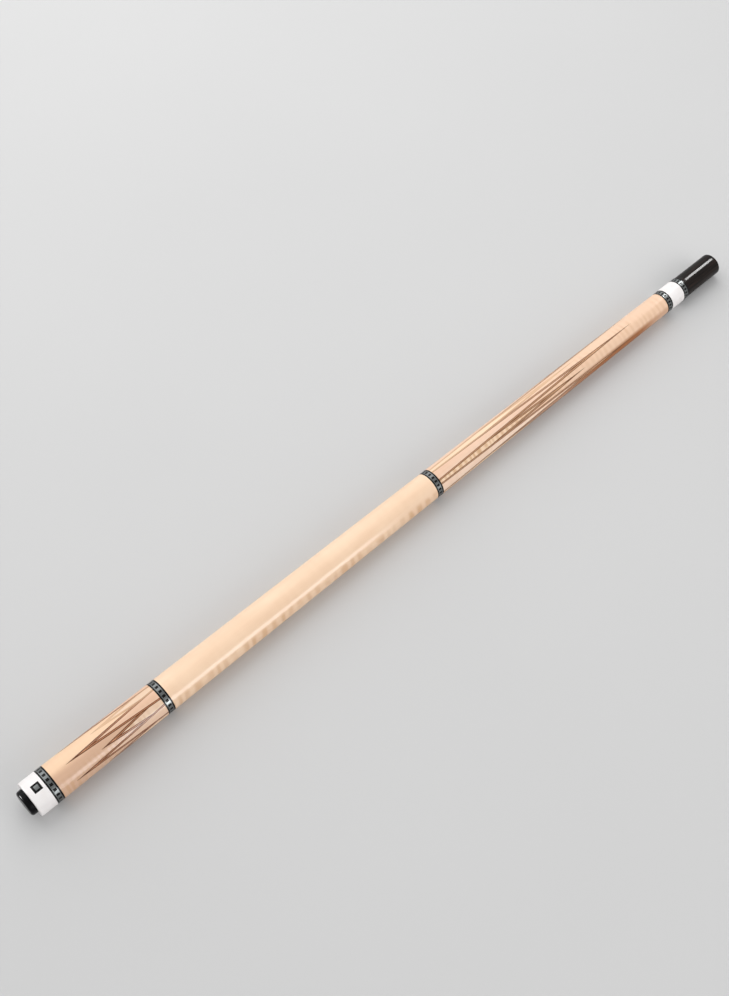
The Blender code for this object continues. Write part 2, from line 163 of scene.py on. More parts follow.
class CueColours(bpy.types.PropertyGroup):
    """Colours of the woods, resins, metals and rubber."""

    sleeve_pale: colour("Sleeve", "Pale wood of the butt sleeve", (0.92, 0.63, 0.41))
    sleeve_deep: colour("Sleeve, deep", "Heartwood of the butt sleeve", (0.66, 0.415, 0.28))
    handle_pale: colour("Handle", "Pale wood of the handle", (0.94, 0.69, 0.49))
    handle_deep: colour("Handle, deep", "Deeper wood of the handle", (0.85, 0.58, 0.39))
    forearm_pale: colour("Forearm", "Pale wood of the forearm", (0.875, 0.60, 0.42))
    forearm_deep: colour("Forearm, deep", "Heartwood of the forearm", (0.33, 0.095, 0.008))
    sleeve_long: colour("Sleeve's long points", "Pale wood of the sleeve's long points", (0.84, 0.59, 0.43))
    forearm_long: colour(
        "Forearm's long points", "Pale wood of the forearm's long points", (0.99, 0.76, 0.60)
    )
    long_deep: colour("Long points, deep", "Deeper wood of the long points", (0.77, 0.485, 0.325))
    sleeve_short: colour(
        "Sleeve's short points", "Pale wood of the sleeve's short points", (0.83, 0.62, 0.46)
    )
    forearm_short: colour(
        "Forearm's short points", "Pale wood of the forearm's short points", (0.96, 0.72, 0.50)
    )
    short_deep: colour("Short points, deep", "Deeper wood of the short points", (0.80, 0.55, 0.37))
    figure: colour("Figure", "Golden bands of the curl", (0.55, 0.26, 0.08))
    sleeve_outer: colour(
        "Sleeve outer veneer", "Outermost veneer of the sleeve's points", (0.10, 0.026, 0.005)
    )
    sleeve_middle: colour("Sleeve middle veneer", "Tan veneer of the sleeve's points", (0.48, 0.22, 0.11))
    sleeve_inner: colour("Sleeve inner veneer", "Veneer next to the sleeve's cores", (0.14, 0.040, 0.010))
    forearm_outer: colour(
        "Forearm outer veneer", "Outermost veneer of the forearm's points", (0.16, 0.062, 0.022)
    )
    forearm_middle: colour(
        "Forearm middle veneer", "Tan veneer of the forearm's points", (0.60, 0.34, 0.19)
    )
    forearm_inner: colour(
        "Forearm inner veneer", "Veneer next to the forearm's cores", (0.19, 0.076, 0.030)
    )
    # Painted light: the veneers take this paler colour on the side where the key light falls
    painted_lit_veneer: colour("Painted lit veneer", "Veneers painted paler on the side where the key light falls", (0.82, 0.53, 0.32))
    white: colour("White resin", "Cap and joint collar", (0.90, 0.87, 0.865))
    black: colour("Black resin", "Ring edges, dashes and inlay", (0.0035, 0.0035, 0.0035))
    silver: colour("Nickel silver", "Bands of the rings", (0.17, 0.18, 0.18))
    rubber: colour("Rubber", "Bumper", (0.003, 0.003, 0.0035))
    ebony: colour("Ebony", "Protector", (0.004, 0.003, 0.0024))
    ebony_streak: colour("Ebony streak", "Brown streaks in the protector", (0.020, 0.011, 0.008))
    steel: colour("Steel", "Joint pin, stud and weight bolt", (0.58, 0.58, 0.57))
    brass: colour("Brass", "Protector insert, bumper stud and bush", (0.72, 0.50, 0.20))
    floor: colour("Floor", "Plain floor", (0.62, 0.62, 0.62))


class CueStage(bpy.types.PropertyGroup):
    """Camera, floor and lights."""

    lens: FloatProperty(name="Lens", description="Focal length", default=50.17, unit="CAMERA")
    camera_place: FloatVectorProperty(
        name="Camera",
        description="Place of the camera",
        default=(-0.0629, -0.4360, 0.9746),
        subtype="TRANSLATION",
    )
    camera_azimuth: angle("Azimuth", "Turn of the camera round the cue", -42.67)
    camera_elevation: angle("Elevation", "Height of the camera above the horizon", 57.09)
    floor_size: length("Floor size", "Width of the floor", 12.0)
    world: FloatProperty(name="World", description="Light from all round", default=0.68)
    key_power: power("Key", "Power of the large softbox", 20.4)
    fill_power: power("Fill", "Power of the low fill", 18.6)
    strip_power: power("Strip", "Power of the low strip", 9.6)
    glint_power: power("Glint", "Power of the protector's strip", 3.7)
    spark_power: power("Spark", "Power of the bumper's spark", 45.0)


def corners(node):
    """Corners of a solid, one row of x, y and z each."""
    vertices = frame["nodes"][node].data.vertices
    places = np.empty(3 * len(vertices), np.float32)
    vertices.foreach_get("co", places)
    return places.reshape(-1, 3).astype(float)


def radii(node):
    """Distance of a solid's corners from the axis."""
    return np.hypot(*corners(node)[:, 1:].T)


def ends(node):
    """Rear and front stations of a solid."""
    low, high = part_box(node)
    return low[0], high[0]


def bore(node):
    """Radius of a solid's hole, from its corner nearest to the axis."""
    return radii(node).min()


def outside(node):
    """Radius of a solid's outside, from its corner farthest from the axis."""
    return radii(node).max()


def rim(node, end):
    """Station and outside radius of a solid at its rear or front end."""
    station = ends(node)[end]
    near = np.abs(corners(node)[:, 0] - station) < RIM_REACH
    return station, radii(node)[near].max()


TAPER = np.array([rim(f"{ring}_crown", REAR) for ring in RINGS] + [rim("joint_ring_washer", FRONT)]).T


def taper(station):
    """Radius of the butt at a station: straight runs between the rings' rear rims and the joint face."""
    return np.interp(station, *TAPER)


def polar(station, radius, around):
    """Points at x = station, y = radius times cosine and z = radius times sine of the angle around."""
    x, r, a = np.broadcast_arrays(station, radius, around)
    return np.stack((x, r * np.cos(a), r * np.sin(a)), axis=-1)


def full_turn(facets):
    """Angles of one whole turn, the first repeated at the end."""
    return np.linspace(0.0, TURN, facets + 1)


def rounded(station, radius, edge, facing):
    """Quarter circle on an outside edge, rear to front: the end face, the arc and the wall for a rear edge.

    From the arc's centre, one edge in from the face and from the wall, the radius grows with the sine and
    the station with one less the cosine of an angle from 0 to 90 degrees; a front edge runs the other way.
    """
    sweep = np.linspace(0.0, math.pi / 2, EDGE_STEPS + 1)
    out = radius - edge + edge * np.sin(sweep)
    along = edge - edge * np.cos(sweep)
    if facing == REAR:
        return list(zip(station + along, out))
    return list(zip(station - along, out))[::-1]


def turned(profile, facets):
    """Profile of (station, radius) pairs turned round the axis, its long runs cut into short steps."""
    points = np.array(profile)
    runs = np.hypot(*np.diff(points, axis=0).T)
    pieces = np.maximum(1, np.ceil(runs / RUN_STEP)).astype(int)
    steps = np.concatenate(((0.0,), np.cumsum(1.0 / np.repeat(pieces, pieces))))
    station, radius = (np.interp(steps, np.arange(len(points)), axis) for axis in points.T)
    return polar(station[:, None], radius[:, None], full_turn(facets))


def tube(node, facets, rear_edge=0.0, front_edge=0.0):
    """Ring or sleeve with a straight bore and an outside that follows the taper, closed on itself."""
    rear, front = ends(node)
    hole = bore(node)
    wall_rear = rounded(rear, taper(rear), rear_edge, REAR) if rear_edge else [(rear, taper(rear))]
    wall_front = rounded(front, taper(front), front_edge, FRONT) if front_edge else [(front, taper(front))]
    return turned([(rear, hole), *wall_rear, *wall_front, (front, hole), (rear, hole)], facets)


def helix(rear, front, pitch):
    """Stations, heights and angles of a right-hand thread whose rows follow the helix.

    A row is a place u in the form of the thread; its station is the pitch times u plus the share of a turn
    that the angle has made, held between the two ends.
    """
    first = math.floor(rear / pitch) - 1
    last = math.ceil(front / pitch) + 1
    turns = np.arange(first, last)[:, None] + THREAD_FORM[:, 0]
    height = np.tile(THREAD_FORM[:, 1], last - first)[:, None]
    around = full_turn(THREAD_FACETS)
    station = np.clip(pitch * (turns.reshape(-1, 1) + around / TURN), rear, front)
    return station, height, around


def ring_row(station, radius, around):
    """One row of points at a station, for the ends of a threaded grid."""
    return polar(np.full((1, 1), station), np.asarray(radius), around[None, :])


def rod(node, pitch, depth, socket=None):
    """Threaded rod: the radius falls by the thread's depth from crest to root, and a cone cuts both ends.

    A socket of (width, depth) sinks a hexagon into the rear end, whose radius at an angle is half its width
    over the cosine of the angle from the middle of the nearest flat.
    """
    rear, front = ends(node)
    radius = outside(node)
    station, height, around = helix(rear, front, pitch)
    end = radius - END_CUT * depth
    wall = np.minimum(radius - depth * (1.0 - height), end + np.minimum(station - rear, front - station))
    rows = [polar(station, wall, around), ring_row(front, 0.0, around)]
    if socket is None:
        return np.concatenate([ring_row(rear, 0.0, around), *rows])
    width, floor = socket
    flat = math.pi / 3
    hexagon = width / 2 / np.cos((around + flat / 2) % flat - flat / 2)
    sunk = [ring_row(rear + floor, 0.0, around), ring_row(rear + floor, hexagon, around)]
    return np.concatenate([*sunk, ring_row(rear, hexagon, around), *rows])


def nut(node, screw, pitch, depth, clearance):
    """Threaded bush: its bore is the screw's thread, a clearance larger, opened by a cone at both ends."""
    rear, front = ends(node)
    radius = outside(screw) + clearance
    station, height, around = helix(rear, front, pitch)
    mouth = radius + clearance
    opening = mouth - np.minimum(station - rear, front - station)
    hole = np.maximum(radius - depth * (1.0 - height), opening)
    wall = outside(node)
    closing = [ring_row(front, wall, around), ring_row(rear, wall, around), ring_row(rear, mouth, around)]
    return np.concatenate([polar(station, hole, around), *closing])


def curved_box(stations, half_width, bottom, top, middle):
    """Block that follows a round surface, its half width an angle that may change from row to row.

    Each row runs round the block: across the top at the top radius and back across the bottom.
    """
    sweep = np.linspace(-1.0, 1.0, BLOCK_COLUMNS)
    around = np.concatenate((sweep, sweep[::-1], sweep[:1]))
    level = np.repeat((1.0, 0.0, 1.0), (BLOCK_COLUMNS, BLOCK_COLUMNS, 1))
    x = np.asarray(stations)[:, None]
    half = np.broadcast_to(half_width, len(stations))[:, None]
    low, high = (np.broadcast_to(side, len(stations))[:, None] for side in (bottom, top))
    return polar(x, low + (high - low) * level, middle + half * around)


def dash_row(sizes):
    """Angles of the middles of a ring's dashes, and half the angle of one.

    The first is half a pitch past straight down.  A dash takes half of its pitch.
    """
    pitch = TURN / sizes.dash_count
    middles = -math.pi / 2 + pitch * (np.arange(sizes.dash_count) + 0.5)
    return middles, pitch / 4


def windowed_band(node, sizes):
    """Silver band with a window to every dash.

    Rows run round the section: bore, front face, wall, and down into the window and out again.  Columns
    are doubled at a window's sides, once at the wall and once at its floor, so that its walls stand up.
    """
    rear, front = ends(node)
    middles, half = dash_row(sizes)
    window = np.array((-1.0, -1.0, -0.5, 0.0, 0.5, 1.0, 1.0, 1.5, 2.0, 2.5))
    sunk = np.array((0, 1, 1, 1, 1, 1, 0, 0, 0, 0))
    around = (middles[:, None] + half * window).ravel()
    floor = np.tile(sunk, sizes.dash_count) * sizes.dash_depth
    around = np.append(around, around[0] + TURN)
    floor = np.append(floor, floor[0])
    sides = (front - sizes.dash_margin, rear + sizes.dash_margin)
    stations = np.array((front, front, sides[0], sides[0], sides[1], sides[1], rear, rear, front))[:, None]
    sinking = np.array((0, 0, 0, 1, 1, 0, 0, 0, 0))[:, None]
    inner = np.array((1, 0, 0, 0, 0, 0, 0, 1, 1))[:, None]
    wall = taper(stations) - sinking * floor
    return polar(stations, np.where(inner, bore(node), wall), around)


def dashes(node, sizes):
    """Black dashes that fill a band's windows, each a glue line smaller all round."""
    rear, front = ends(node)
    gap = sizes.glue_line
    stations = np.linspace(rear + sizes.dash_margin + gap, front - sizes.dash_margin - gap, DASH_ROWS)
    middles, half = dash_row(sizes)
    top = taper(stations)
    floor = top - sizes.dash_depth + gap
    return [curved_box(stations, half - gap / top, floor, top, middle) for middle in middles]


def vee(stations, tip, slope, layers, surface, middle):
    """Strip of a point between two of its layers, both ends on the surface and a corner at the middle.

    The point is a square prong let in corner first, so its depth is the slope times the distance from its
    tip.  A layer that lies a thickness inside it is the square root of two times that less deep.  A layer
    of some depth cuts a surface of some radius at 45 degrees plus the arcsine of depth over radius less
    one, over the square root of two.  Each row runs along the surface on one side, down to the inner
    corner, along the other side and down to the outer corner.
    """
    depth = slope * np.abs(stations - tip)
    deep, shallow = (np.clip(depth - ROOT_2 * layer, 0.0, None)[:, None] for layer in layers)
    skin = surface[:, None]
    outer, inner = (math.pi / 4 + np.arcsin((side / skin - 1.0) / ROOT_2) for side in (deep, shallow))
    arc = outer + (inner - outer) * np.linspace(0.0, 1.0, ARC_COLUMNS)
    centre = np.zeros_like(skin)
    around = np.hstack((-arc, centre, arc[:, ::-1], centre, -arc[:, :1]))
    wall = np.broadcast_to(skin, arc.shape)
    level = np.hstack((wall, skin - shallow, wall, skin - deep, skin))
    return polar(stations[:, None], level, middle + around)


def quads(rows, columns, start):
    """Faces between the neighbouring rows and columns of a grid whose first vertex has number start."""
    number = start + np.arange(rows * columns).reshape(rows, columns)
    sides = (number[:-1, :-1], number[1:, :-1], number[1:, 1:], number[:-1, 1:])
    return np.stack(sides, axis=-1).reshape(-1, 4)


def make_piece(name, shells):
    """One mesh from (grid, finish) pairs, with doubles merged, open ends filled and faces turned out."""
    finishes = list(dict.fromkeys(finish for grid, finish in shells))
    places, faces, wears = [], [], []
    start = 0
    for grid, finish in shells:
        rows, columns = grid.shape[:2]
        places.append(grid.reshape(-1, 3))
        faces.append(quads(rows, columns, start))
        wears.append(np.full(len(faces[-1]), finishes.index(finish)))
        start += rows * columns
    mesh = bpy.data.meshes.new(name)
    mesh.from_pydata(np.concatenate(places).tolist(), [], np.concatenate(faces).tolist())
    for finish in finishes:
        mesh.materials.append(finish)
    mesh.polygons.foreach_set("material_index", np.concatenate(wears).astype(np.int32))
    body = bmesh.new()
    body.from_mesh(mesh)
    bmesh.ops.remove_doubles(body, verts=body.verts, dist=WELD)
    bmesh.ops.holes_fill(body, edges=[edge for edge in body.edges if edge.is_boundary])
    bmesh.ops.recalc_face_normals(body, faces=body.faces)
    body.to_mesh(mesh)
    body.free()
    mesh.shade_smooth()
    mesh.set_sharp_from_angle(angle=CRISP)
    piece = bpy.data.objects.new(name, mesh)
    bpy.context.scene.collection.objects.link(piece)
    return piece


def dress(node, shells):
    """The finished surface of a piece: it rides with the solid, stands for it and takes its finish."""
    piece = make_piece(f"{node}_finished", shells)
    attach(piece, BODY_OF[node])
    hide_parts(node)
    return piece


class Wire:
    """A shader socket in an expression; each operator adds one Math node."""

    def __init__(self, finish, socket):
        self.finish = finish
        self.socket = socket

    def math(self, operation, *values):
        """Adds a Math node on values and sockets."""
        return self.finish.node("ShaderNodeMath", {"operation": operation}, dict(enumerate(values)))

    def __add__(self, other):
        return self.math("ADD", self, other)

    def __sub__(self, other):
        return self.math("SUBTRACT", self, other)

    def __rsub__(self, other):
        return self.math("SUBTRACT", other, self)

    def __mul__(self, other):
        return self.math("MULTIPLY", self, other)

    def __truediv__(self, other):
        return self.math("DIVIDE", self, other)

    def __rtruediv__(self, other):
        return self.math("DIVIDE", other, self)

    def __pow__(self, other):
        return self.math("POWER", self, other)

    __radd__ = __add__
    __rmul__ = __mul__

    def sine(self):
        return self.math("SINE", self)

    def between(self, low, high):
        """0 below low, 1 above high and a smooth rise between them."""
        settings = {"interpolation_type": "SMOOTHSTEP"}
        sockets = {"Value": self, "From Min": low, "From Max": high}
        return self.finish.node("ShaderNodeMapRange", settings, sockets)

    def ranging(self, low, high):
        """Low where the value is 0, high where it is 1."""
        return self * (high - low) + low


# A Mix node's factor and two colours among its sockets, and the colour among its outputs
MIX_FACTOR, MIX_FIRST, MIX_SECOND = 0, 6, 7
MIX_COLOUR = 2

# Added to a squared distance from the axis, in square millimetres, so that the distance is never zero
AXIS_GUARD = 0.01


def socket_names(values):
    """Values by the shader's own socket names, from keywords."""
    return {key.replace("_", " ").title().replace("Ior", "IOR"): value for key, value in values.items()}


class Finish:
    """A material under way: fixed values go to the shader's own sockets, patterns come from node()."""

    def __init__(self, name, **fixed):
        self.material = bpy.data.materials.new(name)
        self.material.use_nodes = True
        self.tree = self.material.node_tree
        self.shader = self.tree.nodes["Principled BSDF"]
        self.plug(self.shader, socket_names(fixed))
        coordinates = self.node("ShaderNodeTexCoord", output="Object")
        sockets = {0: coordinates, "Scale": 1.0 / MM}
        self.place = self.node("ShaderNodeVectorMath", {"operation": "SCALE"}, sockets)

    def node(self, kind, settings=None, sockets=None, output=0):
        """Adds a node: its settings first, then values or links for its sockets; gives one output."""
        made = self.tree.nodes.new(kind)
        for setting, value in (settings or {}).items():
            setattr(made, setting, value)
        self.plug(made, sockets or {})
        return Wire(self, made.outputs[output])

    def plug(self, node, sockets):
        """Sets or links sockets of a node, by their names or numbers."""
        for key, value in sockets.items():
            if isinstance(value, Wire):
                self.tree.links.new(value.socket, node.inputs[key])
            else:
                node.inputs[key].default_value = value

    @functools.cached_property
    def axes(self):
        """Place on the piece along X, Y and Z, in millimetres."""
        split = self.node("ShaderNodeSeparateXYZ", None, {0: self.place}).socket.node
        return [Wire(self, output) for output in split.outputs]

    @functools.cached_property
    def radius(self):
        """Distance from the axis, in millimetres."""
        y, z = self.axes[1:]
        return (y * y + z * z + AXIS_GUARD) ** 0.5

    def facing(self, around):
        """Cosine from an angle round the axis: 1 where the surface faces it and -1 where it faces away."""
        y, z = self.axes[1:]
        return (y * math.cos(around) + z * math.sin(around)) / self.radius

    def noise(self, grain, shift=(0.0, 0.0, 0.0)):
        """Noise of a grain, its pattern moved by a shift."""
        sockets = {0: self.place, 1: grain.scale, 2: shift}
        stretched = self.node("ShaderNodeVectorMath", {"operation": "MULTIPLY_ADD"}, sockets)
        octaves = {"Detail": grain.octaves, "Roughness": grain.roughness}
        sockets = {"Vector": stretched, "Scale": 1.0, **octaves}
        return self.node("ShaderNodeTexNoise", None, sockets, "Fac")

    def patches(self, grain, shift=(0.0, 0.0, 0.0)):
        """Noise of a grain between its limits."""
        return self.noise(grain, shift).between(*grain.limits)

    def blend(self, factor, first, second):
        """From the first colour to the second as the factor goes from 0 to 1."""
        colours = [each if isinstance(each, Wire) else (*each, 1.0) for each in (first, second)]
        sockets = {MIX_FACTOR: factor, MIX_FIRST: colours[0], MIX_SECOND: colours[1]}
        return self.node("ShaderNodeMix", {"data_type": "RGBA"}, sockets, MIX_COLOUR)

    def bump(self, height, strength, depth):
        """Normal of a surface whose relief is a height times a depth in metres."""
        sockets = {"Height": height, "Strength": strength, "Distance": depth}
        return self.node("ShaderNodeBump", None, sockets)

    def done(self, **varying):
        """Links what changes over the surface, and gives the material."""
        self.plug(self.shader, socket_names(varying))
        return self.material


class Grain(NamedTuple):
    """Noise of a finish: cells per millimetre along X, Y and Z, octaves and how rough they are.

    The limits are the values between which a pattern made from it goes from none to full.
    """

    scale: tuple
    octaves: float
    roughness: float
    limits: tuple = (0.0, 1.0)


class Curl(NamedTuple):
    """Curl of a maple: strength, pitch in millimetres and the angle that it faces.

    The spread is the two squared cosines from that angle between which it fades in.
    """

    strength: float
    pitch: float
    face: float
    spread: tuple


class Heart(NamedTuple):
    """Heartwood of a maple: the angle that it faces, and its share of the change from pale to deep.

    It starts and is full at two cosines from that angle.  A reach of four stations, in millimetres, keeps
    most of it between the middle two.
    """

    face: float
    start: float
    full: float
    share: float
    reach: tuple = ()


MAPLE_FIBRE = Grain((0.035, 1.9, 1.9), 4.0, 0.62)
MAPLE_CLOUD = Grain((0.025, 0.08, 0.08), 2.0, 0.5)
MAPLE_RAY = Grain((0.55, 5.0, 5.0), 1.0, 0.5, (0.66, 0.80))
CURL_PATCH = Grain((0.035, 0.05, 0.05), 2.0, 0.5, (0.28, 0.68))
VENEER_FIBRE = Grain((0.04, 3.0, 3.0), 4.0, 0.6, (0.3, 0.75))
WHITE_CLOUD = Grain((0.12, 0.12, 0.12), 3.0, 0.55, (0.3, 0.75))
WHITE_POLISH = Grain((9.0, 0.25, 0.25), 2.0, 0.6)
BLACK_CLOUD = Grain((0.6, 0.6, 0.6), 3.0, 0.6, (0.35, 0.8))
LATHE_MARK = Grain((14.0, 0.35, 0.35), 2.0, 0.6)
TARNISH = Grain((0.35, 0.35, 0.35), 3.0, 0.6, (0.4, 0.85))
RUBBER_GRAIN = Grain((3.5, 3.5, 3.5), 3.0, 0.6)
RUBBER_SCUFF = Grain((0.25, 0.5, 0.5), 3.0, 0.6, (0.5, 0.85))
EBONY_STREAK = Grain((0.03, 0.55, 0.55), 3.0, 0.6, (0.38, 0.72))
EBONY_PORE = Grain((0.22, 4.5, 4.5), 2.0, 0.5, (0.60, 0.72))
FLOOR_CLOUD = Grain((0.004, 0.004, 0.004), 2.0, 0.5)

# Tones that full patterns give to a finish's colour, each a factor
VENEER_STREAK_TONE = 1.4
WHITE_CLOUD_TONE = (0.95, 0.94, 0.93)
BLACK_CLOUD_TONE = 2.4
TARNISH_TONE = 0.55
SCUFF_TONE = 2.2
PORE_TONE = 0.4
FLOOR_CLOUD_TONE = 0.97

# Shares of a colour that full patterns take over
RAY_SHARE = 0.14
TARNISH_SHARE = 0.5
PORE_SHARE = 0.6

# Roughness where a noise is 0 and where it is 1
WHITE_ROUGHNESS = (0.40, 0.52)
BLACK_ROUGHNESS = (0.16, 0.36)
RUBBER_ROUGHNESS = (0.14, 0.36)

# Roughness that full marks and tarnish add to a metal
MARK_ROUGHNESS = 0.16
TARNISH_ROUGHNESS = 0.12

# Reliefs: strength, and depth in metres
FIBRE_RELIEF = (0.10, 0.2 * MM)
MARK_RELIEF = (0.15, 0.05 * MM)
RUBBER_RELIEF = (0.10, 0.1 * MM)
PORE_RELIEF = (0.08, 0.1 * MM)

# Mottle of maple: weights of fibre and clouds, and the sums between which it goes from none to full
FIBRE_WEIGHT = 0.45
CLOUD_WEIGHT = 0.75
MOTTLE_LIMITS = (0.3, 0.9)

# Wander of a curl, with its cells along X to one pitch, and its reach in pitches
CURL_WANDER = Grain((0.35, 0.015, 0.015), 2.0, 0.5)
WANDER_REACH = 2.2

# Shares of the curl and of the heartwood that stay outside their spread and reach
CURL_ELSEWHERE = 0.06
HEART_ELSEWHERE = 0.4

# Shift of a maple's noises, and of its curl's patches, from one seed to the next
SEED_SHIFT = np.array((7.3, 3.1, 5.7))
PATCH_SHIFT = np.array((1.7, 9.1, 2.3))

# Painted light on the veneers, which are painted paler on the side where the key light falls: angle round
# the axis, cosine from it where the painted light starts, and share
PAINTED_LIGHT_SIDE = (math.radians(68.0), 0.94, 0.75)


def palette():
    """Colours that the finishes start from."""
    return bpy.context.scene.cue_colours


def toned(shade, factor):
    """A colour times one factor, or times a factor to each channel, held at 1."""
    return np.minimum(1.0, np.multiply(shade, factor))


def lacquered(name):
    """Open-grained wood under a clear gloss lacquer."""
    return Finish(name, roughness=0.42, specular_ior_level=0.14, coat_weight=0.5, coat_roughness=0.12)


def maple(name, pale, deep, curl, heart, seed):
    """Lacquered maple: fibre and rays along X, soft clouds, and curl across the fibre.

    The wood goes from pale to deep with a mottle of fibre and clouds, and with the heartwood.  The curl is
    a sine of X whose phase wanders, in patches, strongest where the surface faces its angle or away from it.
    """
    wood = lacquered(name)
    golden = palette().figure
    shift = seed * SEED_SHIFT
    x = wood.axes[0]
    fibre = wood.noise(MAPLE_FIBRE, shift)
    cloud = wood.noise(MAPLE_CLOUD, shift)
    ray = wood.patches(MAPLE_RAY, shift)

    patch = wood.patches(CURL_PATCH, seed * PATCH_SHIFT)
    along, *across = CURL_WANDER.scale
    wander = wood.noise(CURL_WANDER._replace(scale=(along / curl.pitch, *across)), shift)
    wave = ((x / curl.pitch + wander * WANDER_REACH) * TURN).sine().between(-1.0, 1.0)
    side = wood.facing(curl.face)
    bands = wave * patch * (side * side).between(*curl.spread).ranging(CURL_ELSEWHERE, 1.0)

    mottle = (fibre * FIBRE_WEIGHT + cloud * CLOUD_WEIGHT).between(*MOTTLE_LIMITS)
    heartwood = wood.facing(heart.face).between(heart.start, heart.full)
    if heart.reach:
        within = x.between(*heart.reach[:2]) * (1.0 - x.between(*heart.reach[2:]))
        heartwood *= within.ranging(HEART_ELSEWHERE, 1.0)
    tone = heartwood * heart.share + mottle * (1.0 - heart.share)
    body = wood.blend(tone, pale, deep)
    body = wood.blend(bands * curl.strength, body, golden)
    body = wood.blend(ray * RAY_SHARE, body, golden)
    return wood.done(base_color=body, normal=wood.bump(fibre, *FIBRE_RELIEF))


@functools.cache
def sleeve_maple():
    """Butt sleeve: close curl, and deeper wood on one side."""
    shades = palette()
    curl = Curl(strength=0.30, pitch=4.5, face=math.radians(165.0), spread=(0.45, 0.95))
    heart = Heart(face=math.radians(174.0), start=0.05, full=0.5, share=0.8)
    return maple("sleeve_maple", shades.sleeve_pale, shades.sleeve_deep, curl, heart, seed=1.0)


@functools.cache
def forearm_maple():
    """Forearm: faint curl, and brown heartwood on one side, most of it towards the joint."""
    shades = palette()
    curl = Curl(strength=0.20, pitch=6.0, face=math.radians(118.0), spread=(0.1, 0.8))
    reach = (520.0, 620.0, 664.0, 700.0)
    heart = Heart(face=math.radians(189.0), start=0.66, full=0.92, share=0.96, reach=reach)
    return maple("forearm_maple", shades.forearm_pale, shades.forearm_deep, curl, heart, seed=2.0)


@functools.cache
def handle_maple():
    """Handle: broad bands of curl on two opposite sides."""
    shades = palette()
    curl = Curl(strength=0.44, pitch=9.5, face=math.radians(172.0), spread=(0.74, 0.98))
    heart = Heart(face=math.radians(180.0), start=0.2, full=1.0, share=0.3)
    return maple("handle_maple", shades.handle_pale, shades.handle_deep, curl, heart, seed=3.0)


@functools.cache
def long_point_maple(section):
    """Cores of a section's long points: almost plain."""
    shades = palette()
    pale = getattr(shades, f"{section}_long")
    curl = Curl(strength=0.10, pitch=6.0, face=math.radians(140.0), spread=(0.3, 0.9))
    heart = Heart(face=math.radians(60.0), start=0.1, full=1.0, share=0.5)
    return maple(f"{section}_long_maple", pale, shades.long_deep, curl, heart, seed=4.0)


@functools.cache
def short_point_maple(section):
    """Cores of a section's short points: strong, close curl."""
    shades = palette()
    pale = getattr(shades, f"{section}_short")
    curl = Curl(strength=0.55, pitch=5.8, face=math.radians(130.0), spread=(0.3, 0.9))
    heart = Heart(face=math.radians(189.0), start=0.5, full=1.0, share=0.3)
    return maple(f"{section}_short_maple", pale, shades.short_deep, curl, heart, seed=5.0)


def stained_veneer(name, shade):
    """Lacquered veneer: one stain, streaked paler along the fibre, with painted light that makes it paler on
    the side of the cue where the key light falls.
    """
    wood = lacquered(name)
    fibre = wood.noise(VENEER_FIBRE)
    body = wood.blend(fibre.between(*VENEER_FIBRE.limits), shade, toned(shade, VENEER_STREAK_TONE))
    # Painted light: paler veneers towards the side where the key light falls
    lit_angle, start, share = PAINTED_LIGHT_SIDE
    painted_light = wood.facing(lit_angle).between(start, 1.0)
    body = wood.blend(painted_light * share, body, palette().painted_lit_veneer)
    return wood.done(base_color=body, normal=wood.bump(fibre, *FIBRE_RELIEF))


@functools.cache
def veneers(section):
    """Finishes of the three veneers round the points of a section, from the outermost in."""
    layers = (f"{section}_{layer}" for layer in ("outer", "middle", "inner"))
    return [stained_veneer(f"{layer}_veneer", getattr(palette(), layer)) for layer in layers]


@functools.cache
def white_resin():
    """Polished resin with the faintest clouds and fine polishing marks round the axis."""
    shade = palette().white
    resin = Finish("white_resin_polished", specular_ior_level=0.3, coat_weight=0.05, coat_roughness=0.2)
    body = resin.blend(resin.patches(WHITE_CLOUD), shade, toned(shade, WHITE_CLOUD_TONE))
    return resin.done(base_color=body, roughness=resin.noise(WHITE_POLISH).ranging(*WHITE_ROUGHNESS))


@functools.cache
def black_resin():
    """Polished black resin, a little duller in patches."""
    shade = palette().black
    resin = Finish("black_resin_polished", specular_ior_level=0.08, coat_weight=0.15, coat_roughness=0.06)
    cloud = resin.noise(BLACK_CLOUD)
    body = resin.blend(cloud.between(*BLACK_CLOUD.limits), shade, toned(shade, BLACK_CLOUD_TONE))
    return resin.done(base_color=body, roughness=cloud.ranging(*BLACK_ROUGHNESS))


def turned_metal(name, shade, roughness):
    """Bright metal with the fine marks of a lathe tool, one after another along X, and a soft tarnish."""
    metal = Finish(name, metallic=1.0)
    marks = metal.noise(LATHE_MARK)
    tarnish = metal.noise(TARNISH)
    tarnished = tarnish.between(*TARNISH.limits) * TARNISH_SHARE
    return metal.done(
        base_color=metal.blend(tarnished, shade, toned(shade, TARNISH_TONE)),
        roughness=marks * MARK_ROUGHNESS + tarnish * TARNISH_ROUGHNESS + roughness,
        normal=metal.bump(marks, *MARK_RELIEF),
    )


@functools.cache
def nickel_silver():
    """Bands of the rings, and the centre of the inlay."""
    return turned_metal("nickel_silver_turned", palette().silver, roughness=0.16)


@functools.cache
def steel():
    """Joint pin, handle stud and weight bolt."""
    return turned_metal("steel_turned", palette().steel, roughness=0.16)


@functools.cache
def brass():
    """Protector insert, bumper stud and bumper bush."""
    return turned_metal("brass_turned", palette().brass, roughness=0.14)


@functools.cache
def rubber():
    """Moulded black rubber: a fine even grain, paler and duller where it is scuffed."""
    shade = palette().rubber
    moulded = Finish("rubber_moulded", specular_ior_level=0.08)
    grain = moulded.noise(RUBBER_GRAIN)
    scuff = moulded.noise(RUBBER_SCUFF)
    return moulded.done(
        base_color=moulded.blend(scuff.between(*RUBBER_SCUFF.limits), shade, toned(shade, SCUFF_TONE)),
        roughness=scuff.ranging(*RUBBER_ROUGHNESS),
        normal=moulded.bump(grain, *RUBBER_RELIEF),
    )


